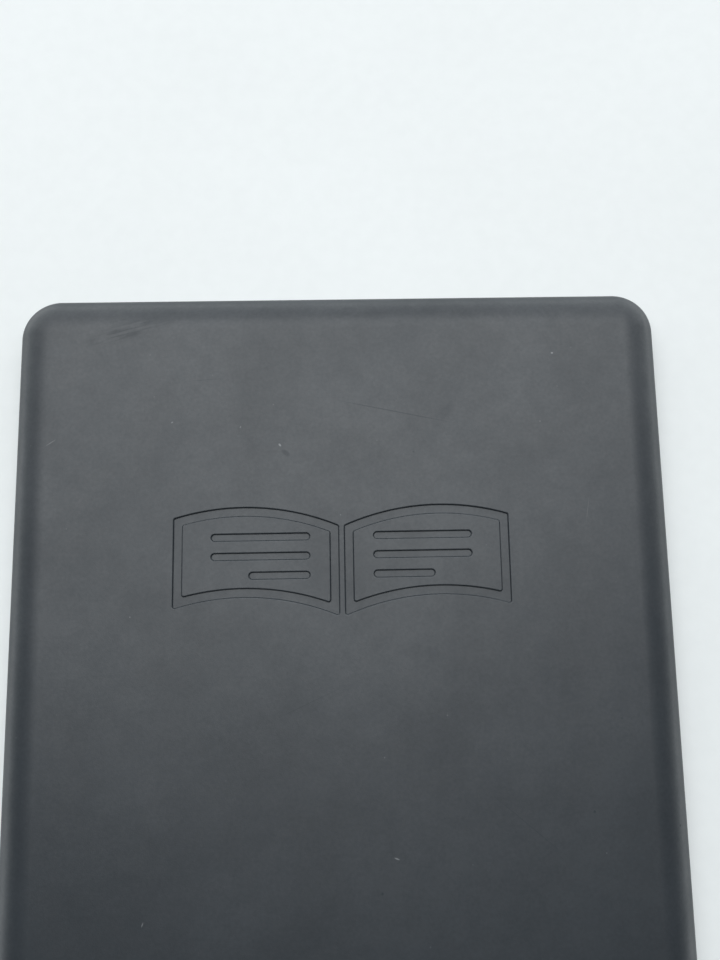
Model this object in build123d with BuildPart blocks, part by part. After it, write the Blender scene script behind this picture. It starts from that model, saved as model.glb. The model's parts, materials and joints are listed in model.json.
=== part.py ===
from build123d import *

import os
from math import cos, radians, sin

# E-reader with a six-inch electronic-paper screen, built as it would come apart on a bench.
# It lies on its screen: z = 0 is the bezel's face, the rear cover is on top, +Y points to the
# device's top edge and +X to the right as seen from behind. Dimensions are in millimetres.

# ---- casing ----
WIDTH = 117.0
LENGTH = 169.0
THICKNESS = 9.1
CORNER_RADIUS = 7.4
SIDE_RADIUS = 4.0  # the cover's edge: lower arc, tangent to the side
DOME_RADIUS = 8.0  # upper arc, tangent to the flat back
SIDE_TURN = 36.87  # degrees that the lower arc turns through
EDGE_RUN = SIDE_RADIUS + (DOME_RADIUS - SIDE_RADIUS) * cos(radians(SIDE_TURN))
EDGE_RISE = DOME_RADIUS - (DOME_RADIUS - SIDE_RADIUS) * sin(radians(SIDE_TURN))
COVER_WALL = 1.3
COVER_INSIDE = THICKNESS - COVER_WALL
RIM_TOP = 2.2
SEAM = 0.1
COVER_FLOOR = RIM_TOP + SEAM
RIM_WIDTH = 2.4
LIP_INSET = 1.4
LIP_WIDTH = 1.0
LIP_HEIGHT = 1.0
BEZEL_PLATE = 1.2
BEZEL_EDGE = 1.0
WINDOW_WIDTH = 92.0
WINDOW_LENGTH = 123.5
WINDOW_Y = 5.25
WINDOW_CORNER = 1.0
WINDOW_CHAMFER = 0.8

# ---- screen stack, from the bezel inwards ----
GLUE = 0.15
TOUCH_THICK = 0.5
GUIDE_THICK = 0.5
FILM_THICK = 0.25
BACKPLANE_THICK = 0.7
TOUCH_Z = BEZEL_PLATE + GLUE
GUIDE_Z = TOUCH_Z + TOUCH_THICK
FILM_Z = GUIDE_Z + GUIDE_THICK
BACKPLANE_Z = FILM_Z + FILM_THICK
FRAME_Z = BACKPLANE_Z + BACKPLANE_THICK + GLUE
TOUCH = (-49.0, 49.0, -62.0, 70.0)  # left, right, bottom and top sides
GUIDE = (-48.0, 48.0, -59.0, 69.0)
FILM = (-46.25, 46.25, -57.0, 67.5)
BACKPLANE = (-48.0, 48.0, -62.5, 69.5)
POCKET = (-49.3, 49.3, -63.3, 71.3)
FLEX_THICK = 0.1
LED_WIDTH = 3.0
LED_DEPTH = 1.1
LED_SPACING = 18.0
LED_COUNT = 5

# ---- frame and board ----
FRAME_INSET = 2.6
FRAME_PLATE = 0.7
FRAME_TOP = FRAME_Z + FRAME_PLATE
BOARD_THICK = 0.8
BOSS_HEIGHT = 0.55
BOARD_Z = FRAME_TOP + BOSS_HEIGHT
BOARD_TOP = BOARD_Z + BOARD_THICK
BOARD = (-50.0, 50.0, -81.8, -26.0)
PORT_Z = BOARD_Z + BOARD_THICK / 2

# ---- fasteners ----
CHASSIS_POINTS = [(x * 51.5, y * 77.5) for x in (-1, 1) for y in (-1, 1)]
CHASSIS_POINTS += [(x * 52.6, y * 26.0) for x in (-1, 1) for y in (-1, 1)]
CHASSIS_POINTS += [(0.0, 78.5), (17.0, -79.0)]
BOARD_POINTS = [(-46.5, -66.0), (46.5, -66.0), (-46.5, -30.5), (46.5, -30.5), (-8.5, -76.0)]
BATTERY_POINTS = [(x * 34.6, y) for x in (-1, 1) for y in (-15.0, 34.0)]
COVER_BOSS_RADIUS = 2.1
FRAME_BOSS_RADIUS = 2.2
HEAD_RADIUS = 1.3
HEAD_HEIGHT = 0.6
CHASSIS_SHANK = 0.8  # shank radii
BOARD_SHANK = 0.7
THREAD_CLEARANCE = 0.05
SEAT_DEPTH = 0.75  # counterbore of a chassis screw
CHASSIS_SEAT_Z = TOUCH_Z + SEAT_DEPTH
CHASSIS_SCREW_LENGTH = 4.8
BORE_SPARE = 0.15  # how far a blind hole runs past its screw

# ---- power button and its switch, on the bottom edge ----
BUTTON_X = -21.0
BUTTON_WIDTH = 8.0
BUTTON_HEIGHT = 2.2
BUTTON_FACE = -84.45
BUTTON_TRAVEL = 0.3
BUTTON_GAP = 0.1
BUTTON_BAY = 7.8  # half width of the room for the button in the frame and the board
BUTTON_PAD = 7.5  # half width of the cover's pad behind the button
BUTTON_POCKET = 6.5  # half width of the pocket for the button's shoulder
SHOULDER_Y = -81.5
SHOULDER_WIDTH = 11.0
SHOULDER_HEIGHT = 3.0
SHOULDER_DEPTH = 0.6
NUB_RADIUS = 0.8
PLUNGER_FACE = -80.18
PLUNGER_WIDTH = 1.8
PLUNGER_HEIGHT = 1.0
PLUNGER_LENGTH = 1.38
SWITCH_FACE = -79.6
SWITCH_WIDTH = 4.8
SWITCH_DEPTH = 2.6
SWITCH_HEIGHT = 2.2
SNAP_DOME_RADIUS = 0.8
SNAP_DOME_HEIGHT = 0.4
SNAP_DOME_CROWN = 0.15  # radius of the flat in its middle
SNAP_DOME_SHEET = 0.06
CHAMBER_FRONT = -78.9
CHAMBER_DEPTH = 0.55

# ---- charging socket, on the bottom edge ----
USB_WIDTH = 7.5
USB_HEIGHT = 2.5
USB_LENGTH = 5.6
USB_MOUTH = -83.2
USB_SHEET = 0.25
USB_BEVEL = 1.0
PORT_GAP = 0.25
PORT_CORNER = 0.9
SOLDER_SHEET = 0.2

# ---- charge light ----
LIGHT_X = 10.0
LIGHT_RADIUS = 0.6
LIGHT_GAP = 0.03

# ---- ribbon connectors: centre and ribbon width along X ----
CONNECTORS = {"touch": (-34.0, 14.0), "display": (11.0, 24.0), "light": (39.0, 6.0)}
SOCKET_MOUTH = -62.4
SOCKET_BACK = -58.6
SOCKET_HEIGHT = 1.2
LATCH_LENGTH = 1.1
LATCH_PIVOT = (-61.2, BOARD_TOP + 1.07)
LATCH_HALF = 0.17
RIBBON_TURN = 1.2
RIBBON_SLOT = (-66.4, -64.4)
RIBBON_ENTRY = BOARD_TOP + 0.62

# ---- battery ----
CELL = (-31.0, 31.0, -17.5, 40.0)
CELL_Z = FRAME_TOP + 0.1
CELL_HEIGHT = 3.2
TRAY_WALL = 0.8
TRAY_GAP = 0.4
TRAY_HEIGHT = 2.4
TRAY = (CELL[0] - TRAY_GAP, CELL[1] + TRAY_GAP, -21.4, CELL[3] + TRAY_GAP)
PLUG_X = -26.5
LEAD_SPACING = 2.0
LEAD_RADIUS = 0.4

# ---- radio ----
CABLE_RADIUS = 0.4
CABLE_X = 43.0
CABLE_Z = FRAME_TOP + 0.6
ANTENNA = (18.0, 48.0, 60.0, 70.0)
ANTENNA_THICK = 0.2

# ---- emblem pressed into the back: an open book with lines of text ----
EMBLEM_Y = 35.7
EMBLEM_DEPTH = 0.4
PAGE_WIDTH = 29.0
PAGE_HEIGHT = 15.4
PAGE_STROKE = 1.5
SPINE_GAP = 1.0

pieces = {}


def rectangle(left, right, bottom, top, corner=0.0, mode=Mode.ADD):
    """Add a rectangle to the open sketch, given its four sides."""
    with Locations(((left + right) / 2, (bottom + top) / 2)):
        if corner:
            RectangleRounded(right - left, top - bottom, corner, mode=mode)
        else:
            Rectangle(right - left, top - bottom, mode=mode)


def block(x, y, z, mode=Mode.ADD):
    """Add a block to the open part, given the low and high end of each side."""
    with Locations(((x[0] + x[1]) / 2, (y[0] + y[1]) / 2, (z[0] + z[1]) / 2)):
        Box(x[1] - x[0], y[1] - y[0], z[1] - z[0], mode=mode)


def grown(sides, margin):
    """The four sides of a rectangle, moved outwards."""
    left, right, bottom, top = sides
    return left - margin, right + margin, bottom - margin, top + margin


def around(centre, half):
    """The low and high end of a span, from its middle."""
    return centre - half, centre + half


def aside(centre, near, far, side):
    """The low and high end of a span that lies from near to far on one side of a centre."""
    return sorted((centre + side * near, centre + side * far))


def edge_section(reach, inset, floor):
    """Half of the cover's cross-section: x runs out from the middle to reach, y is height."""
    low_centre = (reach - SIDE_RADIUS, THICKNESS - EDGE_RISE)
    high_centre = (reach - EDGE_RUN, THICKNESS - DOME_RADIUS)
    with BuildSketch(Plane.XY, mode=Mode.PRIVATE) as section:
        with BuildLine():
            low = CenterArc(low_centre, SIDE_RADIUS - inset, 0, SIDE_TURN)
            high = CenterArc(high_centre, DOME_RADIUS - inset, SIDE_TURN, 90 - SIDE_TURN)
            Polyline(low @ 0, (reach - inset, floor), (0, floor), (0, THICKNESS - inset), high @ 1)
        make_face()
    return section.sketch


def cover_form(inset, floor):
    """The cover's outer form, or the space inside a wall of the given thickness."""
    corner_x = WIDTH / 2 - CORNER_RADIUS
    corner_y = LENGTH / 2 - CORNER_RADIUS
    corner_plane = Plane(origin=(corner_x, corner_y, 0), x_dir=(1, 0, 0), z_dir=(0, -1, 0))
    with BuildPart() as form:
        with BuildSketch(Plane.XZ):
            add(edge_section(WIDTH / 2, inset, floor))
        extrude(amount=-corner_y)
        with BuildSketch(Plane.YZ):
            add(edge_section(LENGTH / 2, inset, floor))
        extrude(amount=corner_x)
        with BuildSketch(corner_plane):
            add(edge_section(CORNER_RADIUS, inset, floor))
        revolve(axis=Axis((corner_x, corner_y, 0), (0, 0, 1)), revolution_arc=90)
        mirror(about=Plane.YZ)
        mirror(about=Plane.XZ)
    return form.part


def page():
    """The right-hand page of the open book: an outline with curved edges and lines of text."""
    spine_rise = 1.6
    crown = 1.5
    line_lengths = (17.0, 17.0, 10.5)
    line_spacing = 3.3
    half = PAGE_HEIGHT / 2
    near = (SPINE_GAP / 2, half - spine_rise)
    middle = (PAGE_WIDTH * 0.42, half + crown)
    far = (PAGE_WIDTH, half)
    with BuildSketch(Plane.XY, mode=Mode.PRIVATE) as sketch:
        with BuildLine():
            top = ThreePointArc(near, middle, far)
            drop = Vector(0, -PAGE_HEIGHT)
            bottom = ThreePointArc(*[Vector(*point) + drop for point in (near, middle, far)])
            Line(top @ 0, bottom @ 0)
            Line(top @ 1, bottom @ 1)
        make_face()
        offset(amount=-PAGE_STROKE, kind=Kind.INTERSECTION, mode=Mode.SUBTRACT)
        fillet(sketch.vertices(), PAGE_STROKE / 4)
        for row, length in enumerate(line_lengths):
            left = PAGE_WIDTH * 0.19
            with Locations((left + length / 2, 1.0 + line_spacing * (1 - row))):
                SlotOverall(length, PAGE_STROKE * 0.8)
    return sketch.sketch


def screw(head_height, shank_radius, length):
    """A screw pointing down from its seat at z = 0, with a six-lobe recess in its head."""
    recess_radius = 0.45
    lobe_radius = 0.22
    recess_depth = 0.35
    with BuildPart() as body:
        with BuildSketch():
            Circle(HEAD_RADIUS)
        extrude(amount=head_height)
        chamfer(body.edges().sort_by(Axis.Z)[-1], 0.15)
        with BuildSketch(Plane.XY.offset(head_height)):
            Circle(recess_radius)
            with PolarLocations(recess_radius, 6):
                Circle(lobe_radius)
        extrude(amount=-recess_depth, mode=Mode.SUBTRACT)
        with BuildSketch():
            Circle(shank_radius)
        extrude(amount=-length)
        chamfer(body.edges().sort_by(Axis.Z)[0], 0.3)
    return body.part


# ================= casing =================

outer_form = cover_form(0, COVER_FLOOR)
inner_space = cover_form(COVER_WALL, COVER_FLOOR - 0.5)
book_page = page()

SNAP_LENGTH = 8.0
SNAP_DEPTH = 0.25
SNAP_HEIGHT = 0.4
SNAP_ROOM = 0.15  # play around a hook in its recess
SNAP_Z = RIM_TOP + 0.6
SNAP_SIDES = [(x * (WIDTH / 2 - LIP_INSET), y, 90) for x in (-1, 1) for y in (-52.0, 0.0, 52.0)]
SNAP_ENDS = [(x, y * (LENGTH / 2 - LIP_INSET), 0) for y in (-1, 1) for x in (-36.0, 32.0)]
SNAP_PLACES = [Location((x, y, SNAP_Z), (0, 0, turn)) for x, y, turn in SNAP_SIDES + SNAP_ENDS]
ROOT = 0.3  # how far a boss reaches into the wall that it grows from
RIB_WIDTH = 0.8
RIB_HEIGHT = 1.0

with BuildPart() as rear_cover:
    add(outer_form)
    add(inner_space, mode=Mode.SUBTRACT)
    # recesses for the bezel's snap hooks
    with Locations(*SNAP_PLACES):
        room = 2 * SNAP_ROOM
        Box(SNAP_LENGTH + room, 2 * SNAP_DEPTH + room, SNAP_HEIGHT + room, mode=Mode.SUBTRACT)
    # screw bosses
    with BuildSketch(Plane.XY.offset(FRAME_TOP)):
        with Locations(*CHASSIS_POINTS):
            Circle(COVER_BOSS_RADIUS)
    extrude(amount=COVER_INSIDE + ROOT - FRAME_TOP)
    with BuildSketch(Plane.XY.offset(FRAME_TOP)):
        with Locations(*CHASSIS_POINTS):
            Circle(CHASSIS_SHANK + THREAD_CLEARANCE)
    screw_end = CHASSIS_SEAT_Z + CHASSIS_SCREW_LENGTH
    extrude(amount=screw_end + BORE_SPARE - FRAME_TOP, mode=Mode.SUBTRACT)
    # stiffening ribs above the battery
    with Locations((-6, 58, COVER_INSIDE - 0.4)):
        with GridLocations(0, 9, 1, 3):
            Box(66, RIB_WIDTH, RIB_HEIGHT)
        with GridLocations(13, 0, 6, 1):
            Box(RIB_WIDTH, 24, RIB_HEIGHT)
    # pad with a flat face behind the power button, and the button's slot
    pad_face = SHOULDER_Y - BUTTON_GAP
    block(around(BUTTON_X, BUTTON_PAD), (-83.9, pad_face), (3.5, 7.6))
    add(outer_form, mode=Mode.INTERSECT)
    block(around(BUTTON_X, BUTTON_POCKET), (pad_face, -78.0), (3.3, 6.95), Mode.SUBTRACT)
    with BuildSketch(Plane.XZ.offset(LENGTH / 2)):
        with Locations((BUTTON_X, PORT_Z)):
            SlotOverall(BUTTON_WIDTH + 2 * BUTTON_GAP, BUTTON_HEIGHT + 2 * BUTTON_GAP)
        with Locations((0, PORT_Z)):
            RectangleRounded(USB_WIDTH + 2 * PORT_GAP, USB_HEIGHT + 2 * PORT_GAP, PORT_CORNER)
        with Locations((LIGHT_X, PORT_Z)):
            Circle(LIGHT_RADIUS + LIGHT_GAP)
    extrude(amount=-3.4, mode=Mode.SUBTRACT)
    # emblem
    with BuildSketch(Plane.XY.offset(THICKNESS)):
        with Locations((0, EMBLEM_Y)):
            add(book_page)
            add(book_page.mirror(Plane.YZ))
    extrude(amount=-EMBLEM_DEPTH, mode=Mode.SUBTRACT)
pieces["rear_cover"] = rear_cover

with BuildPart() as front_bezel:
    with BuildSketch():
        RectangleRounded(WIDTH, LENGTH, CORNER_RADIUS)
    extrude(amount=RIM_TOP)
    fillet(front_bezel.faces().sort_by(Axis.Z)[0].edges(), BEZEL_EDGE)
    with BuildSketch(Plane.XY.offset(BEZEL_PLATE)):
        RectangleRounded(WIDTH - 2 * RIM_WIDTH, LENGTH - 2 * RIM_WIDTH, CORNER_RADIUS - RIM_WIDTH)
    extrude(amount=RIM_TOP - BEZEL_PLATE, mode=Mode.SUBTRACT)
    with BuildSketch():
        with Locations((0, WINDOW_Y)):
            RectangleRounded(WINDOW_WIDTH, WINDOW_LENGTH, WINDOW_CORNER)
    extrude(amount=BEZEL_PLATE, mode=Mode.SUBTRACT)
    chamfer(front_bezel.faces().sort_by(Axis.Z)[0].inner_wires()[0].edges(), WINDOW_CHAMFER)
    # locating lip inside the rear cover's wall, with snap hooks
    with BuildSketch(Plane.XY.offset(RIM_TOP)):
        inset = 2 * LIP_INSET
        RectangleRounded(WIDTH - inset, LENGTH - inset, CORNER_RADIUS - LIP_INSET)
        inset = 2 * (LIP_INSET + LIP_WIDTH)
        RectangleRounded(WIDTH - inset, LENGTH - inset, CORNER_RADIUS - inset / 2, mode=Mode.SUBTRACT)
    extrude(amount=LIP_HEIGHT)
    with Locations(*SNAP_PLACES):
        Box(SNAP_LENGTH, 2 * SNAP_DEPTH, SNAP_HEIGHT)
pieces["front_bezel"] = front_bezel

FRAME_WIDTH = WIDTH - 2 * FRAME_INSET
FRAME_LENGTH = LENGTH - 2 * FRAME_INSET
FRAME_CORNER = CORNER_RADIUS - FRAME_INSET

with BuildPart() as bezel_adhesive:
    with BuildSketch(Plane.XY.offset(BEZEL_PLATE)):
        RectangleRounded(FRAME_WIDTH - 0.6, FRAME_LENGTH - 0.6, FRAME_CORNER - 0.3)
        rectangle(*grown(POCKET, 0.4), mode=Mode.SUBTRACT)
        with Locations(*CHASSIS_POINTS):
            Circle(HEAD_RADIUS + 0.3, mode=Mode.SUBTRACT)
    extrude(amount=GLUE)
pieces["bezel_adhesive"] = bezel_adhesive

with BuildPart() as screen_gasket:
    with BuildSketch(Plane.XY.offset(BEZEL_PLATE)):
        rectangle(*grown(TOUCH, -0.3), corner=1.0)
        with Locations((0, WINDOW_Y)):
            RectangleRounded(WINDOW_WIDTH + 0.8, WINDOW_LENGTH + 0.8, 1.4, mode=Mode.SUBTRACT)
    extrude(amount=GLUE)
pieces["screen_gasket"] = screen_gasket

# ================= screen =================

with BuildPart() as touch_panel:
    with BuildSketch(Plane.XY.offset(TOUCH_Z)):
        rectangle(*TOUCH, corner=1.0)
    extrude(amount=TOUCH_THICK)
pieces["touch_panel"] = touch_panel

with BuildPart() as light_guide:
    with BuildSketch(Plane.XY.offset(GUIDE_Z)):
        rectangle(*GUIDE, corner=0.6)
    extrude(amount=GUIDE_THICK)
pieces["light_guide"] = light_guide

with BuildPart() as front_light_leds:
    with Locations((0, GUIDE[2] - LED_DEPTH / 2 - 0.05, GUIDE_Z + GUIDE_THICK / 2)):
        with GridLocations(LED_SPACING, 0, LED_COUNT, 1):
            Box(LED_WIDTH, LED_DEPTH, GUIDE_THICK)
    chamfer(front_light_leds.edges().filter_by(Axis.Z).group_by(Axis.Y)[0], 0.25)
pieces["front_light_leds"] = front_light_leds

with BuildPart() as display_film:
    with BuildSketch(Plane.XY.offset(FILM_Z)):
        rectangle(*FILM, corner=0.4)
    extrude(amount=FILM_THICK)
pieces["display_film"] = display_film

with BuildPart() as display_backplane:
    with BuildSketch(Plane.XY.offset(BACKPLANE_Z)):
        rectangle(*BACKPLANE)
    extrude(amount=BACKPLANE_THICK)
    chamfer(display_backplane.edges().filter_by(Axis.Z), 0.8)
pieces["display_backplane"] = display_backplane

with BuildPart() as display_driver_chip:
    with BuildSketch(Plane.XY.offset(BACKPLANE_Z)):
        rectangle(-34.0, -12.0, -62.2, -60.9)
    extrude(amount=-0.25)
pieces["display_driver_chip"] = display_driver_chip

with BuildPart() as display_adhesive:
    with BuildSketch(Plane.XY.offset(FRAME_Z - GLUE)):
        with Locations((0, WINDOW_Y)):
            with GridLocations(0, 34, 1, 4):
                RectangleRounded(88, 11, 1.0)
    extrude(amount=GLUE)
pieces["display_adhesive"] = display_adhesive


def ribbon_path(start, height):
    """A ribbon's path, sketched in the YZ plane: back past the frame's edge, up and into its socket."""
    slot = sum(RIBBON_SLOT) / 2
    end = SOCKET_MOUTH + 2.2
    points = [(start, height), (slot, height), (slot, RIBBON_ENTRY), (end, RIBBON_ENTRY)]
    return FilletPolyline(*points, radius=RIBBON_TURN)


with BuildPart() as display_flex:
    centre, width = CONNECTORS["display"]
    with BuildSketch(Plane.YZ.offset(centre - width / 2)):
        with BuildLine():
            ribbon_path(BACKPLANE[2] + 1.4, BACKPLANE_Z - FLEX_THICK / 2)
        trace(line_width=FLEX_THICK)
    extrude(amount=width)
pieces["display_flex"] = display_flex

with BuildPart() as touch_flex:
    centre, width = CONNECTORS["touch"]
    with BuildSketch(Plane.YZ.offset(centre - width / 2)):
        with BuildLine():
            ribbon_path(TOUCH[2] + 1.2, GUIDE_Z + FLEX_THICK / 2)
        trace(line_width=FLEX_THICK)
    extrude(amount=width)
pieces["touch_flex"] = touch_flex

with BuildPart() as light_bar_flex:
    with BuildSketch(Plane.XY.offset(FILM_Z)):
        rectangle(-46.0, 46.0, GUIDE[2] - 1.5, GUIDE[2] + 1.5)
    extrude(amount=FLEX_THICK)
    centre, width = CONNECTORS["light"]
    with BuildSketch(Plane.YZ.offset(centre - width / 2)):
        with BuildLine():
            ribbon_path(GUIDE[2] - 1.0, FILM_Z + FLEX_THICK / 2)
        trace(line_width=FLEX_THICK)
    extrude(amount=width)
pieces["light_bar_flex"] = light_bar_flex

# ================= frame =================

with BuildPart() as mid_frame:
    with BuildSketch(Plane.XY.offset(TOUCH_Z)):
        RectangleRounded(FRAME_WIDTH, FRAME_LENGTH, FRAME_CORNER)
    extrude(amount=FRAME_TOP - TOUCH_Z)
    # tray for the screen, with bays where the ribbons turn
    with BuildSketch(Plane.XY.offset(TOUCH_Z)):
        rectangle(*POCKET, corner=1.2)
        for centre, width in CONNECTORS.values():
            rectangle(*around(centre, width / 2 + 0.8), RIBBON_SLOT[0] - 0.6, POCKET[2] + 2.0)
    extrude(amount=FRAME_Z - TOUCH_Z, mode=Mode.SUBTRACT)
    # ribbon slots and lightening windows through the plate
    with BuildSketch(Plane.XY.offset(FRAME_Z)):
        for centre, width in CONNECTORS.values():
            rectangle(*around(centre, width / 2 + 0.8), RIBBON_SLOT[0] - 0.6, RIBBON_SLOT[1] + 0.6)
        with Locations((-24, 58)):
            with GridLocations(19, 0, 3, 1):
                RectangleRounded(14, 12, 2.0)
    extrude(amount=FRAME_PLATE, mode=Mode.SUBTRACT)
    # bosses under the board
    with BuildSketch(Plane.XY.offset(FRAME_TOP)):
        with Locations(*BOARD_POINTS):
            Circle(FRAME_BOSS_RADIUS)
    extrude(amount=BOSS_HEIGHT)
    # threaded holes of the board and battery screws
    with BuildSketch(Plane.XY.offset(FRAME_Z)):
        with Locations(*BOARD_POINTS, *BATTERY_POINTS):
            Circle(BOARD_SHANK + THREAD_CLEARANCE)
    extrude(amount=FRAME_PLATE + BOSS_HEIGHT, mode=Mode.SUBTRACT)
    # counterbored holes of the chassis screws, entered from the screen side
    with BuildSketch(Plane.XY.offset(TOUCH_Z)):
        with Locations(*CHASSIS_POINTS):
            Circle(HEAD_RADIUS + 0.15)
    extrude(amount=SEAT_DEPTH, mode=Mode.SUBTRACT)
    with BuildSketch(Plane.XY.offset(TOUCH_Z)):
        with Locations(*CHASSIS_POINTS):
            Circle(CHASSIS_SHANK + 2 * THREAD_CLEARANCE)
    extrude(amount=FRAME_TOP - TOUCH_Z, mode=Mode.SUBTRACT)
    # room for the charging socket, the button's shoulder and the switch
    block(around(0, 4.4), (-83.0, -77.0), (PORT_Z - 1.4, FRAME_TOP), Mode.SUBTRACT)
    block(around(BUTTON_X, BUTTON_BAY), (-83.0, -79.4), (3.3, FRAME_TOP), Mode.SUBTRACT)
    block(around(BUTTON_X, 2.7), (-80.0, -76.8), (3.85, FRAME_TOP), Mode.SUBTRACT)
    # posts that hold the antenna cable
    for y in (-8.0, 16.0, 40.0):
        for side in (-1, 1):
            block(around(CABLE_X + side * 1.0, 0.4), around(y, 1.5), (FRAME_TOP, FRAME_TOP + 1.1))
pieces["mid_frame"] = mid_frame

chassis_screw = screw(HEAD_HEIGHT, CHASSIS_SHANK, CHASSIS_SCREW_LENGTH)
board_screw = screw(0.5, BOARD_SHANK, 1.95)
battery_screw = screw(0.5, BOARD_SHANK, 1.6)
EAR_TOP = FRAME_TOP + 1.0

with BuildPart() as chassis_screws:
    with Locations(*[Location((x, y, CHASSIS_SEAT_Z), (180, 0, 0)) for x, y in CHASSIS_POINTS]):
        add(chassis_screw)
pieces["chassis_screws"] = chassis_screws

with BuildPart() as board_screws:
    with Locations(*[(x, y, BOARD_TOP) for x, y in BOARD_POINTS]):
        add(board_screw)
pieces["board_screws"] = board_screws

with BuildPart() as battery_screws:
    with Locations(*[(x, y, EAR_TOP) for x, y in BATTERY_POINTS]):
        add(battery_screw)
pieces["battery_screws"] = battery_screws

# ================= main board =================

with BuildPart() as main_board:
    with BuildSketch(Plane.XY.offset(BOARD_Z)):
        rectangle(*BOARD, corner=1.0)
        # corners around the cover's bosses
        for side in (-1, 1):
            with Locations((side * 51.5, -77.5)):
                RectangleRounded(8.4, 9.4, 2.5, mode=Mode.SUBTRACT)
        with Locations(CHASSIS_POINTS[-1]):
            SlotOverall(10.0, 2 * COVER_BOSS_RADIUS + 0.8, rotation=90, mode=Mode.SUBTRACT)
        # edge notches: charging socket, power button, switch and charge light
        rectangle(*around(0, USB_WIDTH / 2 + 0.15), -83.0, -77.4, mode=Mode.SUBTRACT)
        rectangle(*around(BUTTON_X, BUTTON_BAY), -83.0, SWITCH_FACE - 0.05, mode=Mode.SUBTRACT)
        rectangle(*around(BUTTON_X, SWITCH_WIDTH / 2 + 0.1), -80.0, -76.9, mode=Mode.SUBTRACT)
        rectangle(*around(LIGHT_X, 0.95), -83.0, -78.8, mode=Mode.SUBTRACT)
        for centre, width in CONNECTORS.values():
            rectangle(*around(centre, width / 2 + 0.6), *RIBBON_SLOT, corner=0.5, mode=Mode.SUBTRACT)
        with Locations(*BOARD_POINTS):
            Circle(BOARD_SHANK + 0.1, mode=Mode.SUBTRACT)
    extrude(amount=BOARD_THICK)
pieces["main_board"] = main_board

# chips: centre x and y, width, length and height
CHIPS = {
    "processor": (-11.0, -45.0, 13.0, 13.0, 1.1),
    "memory_chip": (1.5, -45.0, 9.0, 11.5, 0.9),
    "flash_chip": (13.0, -45.0, 11.5, 13.0, 1.0),
    "power_chip": (30.0, -74.0, 7.0, 7.0, 0.9),
    "touch_controller": (-34.0, -49.0, 6.0, 6.0, 0.8),
    "hall_sensor": (-45.5, -46.0, 1.4, 2.9, 1.1),
}
CHIP_CHAMFER = 0.12
PIN_MARK = 0.3

for name, (x, y, width, length, height) in CHIPS.items():
    with BuildPart() as chip:
        with BuildSketch(Plane.XY.offset(BOARD_TOP)):
            with Locations((x, y)):
                Rectangle(width, length)
        extrude(amount=height)
        chamfer(chip.faces().sort_by(Axis.Z)[-1].edges(), CHIP_CHAMFER)
        with BuildSketch(Plane.XY.offset(BOARD_TOP + height)):
            with Locations((x - width / 2 + 3 * PIN_MARK / 2, y + length / 2 - 3 * PIN_MARK / 2)):
                Circle(PIN_MARK / 2)
        extrude(amount=-0.06, mode=Mode.SUBTRACT)
    pieces[name] = chip

with BuildPart() as chip_passives:
    passive = (1.0, 0.5, 0.45)
    with Locations((0, -53.4, BOARD_TOP + passive[2] / 2)):
        with GridLocations(1.6, 1.1, 22, 2):
            Box(*passive)
    with Locations((0, -35.8, BOARD_TOP + passive[2] / 2)):
        with GridLocations(1.6, 1.1, 20, 1):
            Box(*passive)
    with Locations((30, -68.4, BOARD_TOP + passive[2] / 2)):
        with GridLocations(1.6, 1.1, 6, 2):
            Box(*passive)
    with Locations((-34, -44.4, BOARD_TOP + passive[2] / 2)):
        with GridLocations(1.6, 1.1, 5, 1):
            Box(*passive)
pieces["chip_passives"] = chip_passives

with BuildPart() as inductors:
    with Locations((38.0, -74.0, BOARD_TOP + 0.6)):
        with GridLocations(4.6, 4.6, 2, 2):
            Box(3.0, 3.0, 1.2)
    chamfer(inductors.edges().filter_by(Axis.Z), 0.5)
pieces["inductors"] = inductors

with BuildPart() as crystals:
    with BuildSketch(Plane.XY.offset(BOARD_TOP)):
        with Locations((26.0, -54.0), (26.0, -58.5)):
            RectangleRounded(3.2, 2.5, 0.3)
    extrude(amount=0.7)
pieces["crystals"] = crystals

SHIELD = (-20.0, 20.0, -57.0, -33.5)
SHIELD_TOP = BOARD_TOP + 1.35
SHEET = 0.2

with BuildPart() as shield_frame:
    with BuildSketch(Plane.XY.offset(BOARD_TOP)):
        rectangle(*SHIELD, corner=1.0)
        rectangle(*grown(SHIELD, -SHEET), corner=0.8, mode=Mode.SUBTRACT)
    extrude(amount=SHIELD_TOP - BOARD_TOP)
    with BuildSketch(Plane.XY.offset(SHIELD_TOP - SHEET)):
        rectangle(*SHIELD, corner=1.0)
        rectangle(*grown(SHIELD, -1.2), corner=1.5, mode=Mode.SUBTRACT)
    extrude(amount=SHEET)
pieces["shield_frame"] = shield_frame

with BuildPart() as shield_lid:
    with BuildSketch(Plane.XY.offset(SHIELD_TOP - 0.8)):
        rectangle(*grown(SHIELD, 0.05 + SHEET), corner=1.25)
        rectangle(*grown(SHIELD, 0.05), corner=1.05, mode=Mode.SUBTRACT)
    extrude(amount=0.8 + SHEET)
    with BuildSketch(Plane.XY.offset(SHIELD_TOP)):
        rectangle(*grown(SHIELD, 0.05 + SHEET), corner=1.25)
        with Locations((0, (SHIELD[2] + SHIELD[3]) / 2)):
            with GridLocations(3.6, 3.6, 10, 6):
                Circle(0.5, mode=Mode.SUBTRACT)
    extrude(amount=SHEET)
pieces["shield_lid"] = shield_lid

with BuildPart() as wifi_module:
    with BuildSketch(Plane.XY.offset(BOARD_TOP)):
        with Locations((31.5, -40.0)):
            Rectangle(13.0, 12.5)
    extrude(amount=0.5)
    with BuildSketch(Plane.XY.offset(BOARD_TOP + 0.5)):
        with Locations((31.5, -40.0)):
            RectangleRounded(12.0, 11.5, 0.6)
    extrude(amount=1.1)
    chamfer(wifi_module.faces().sort_by(Axis.Z)[-1].edges(), 0.2)
pieces["wifi_module"] = wifi_module

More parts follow.
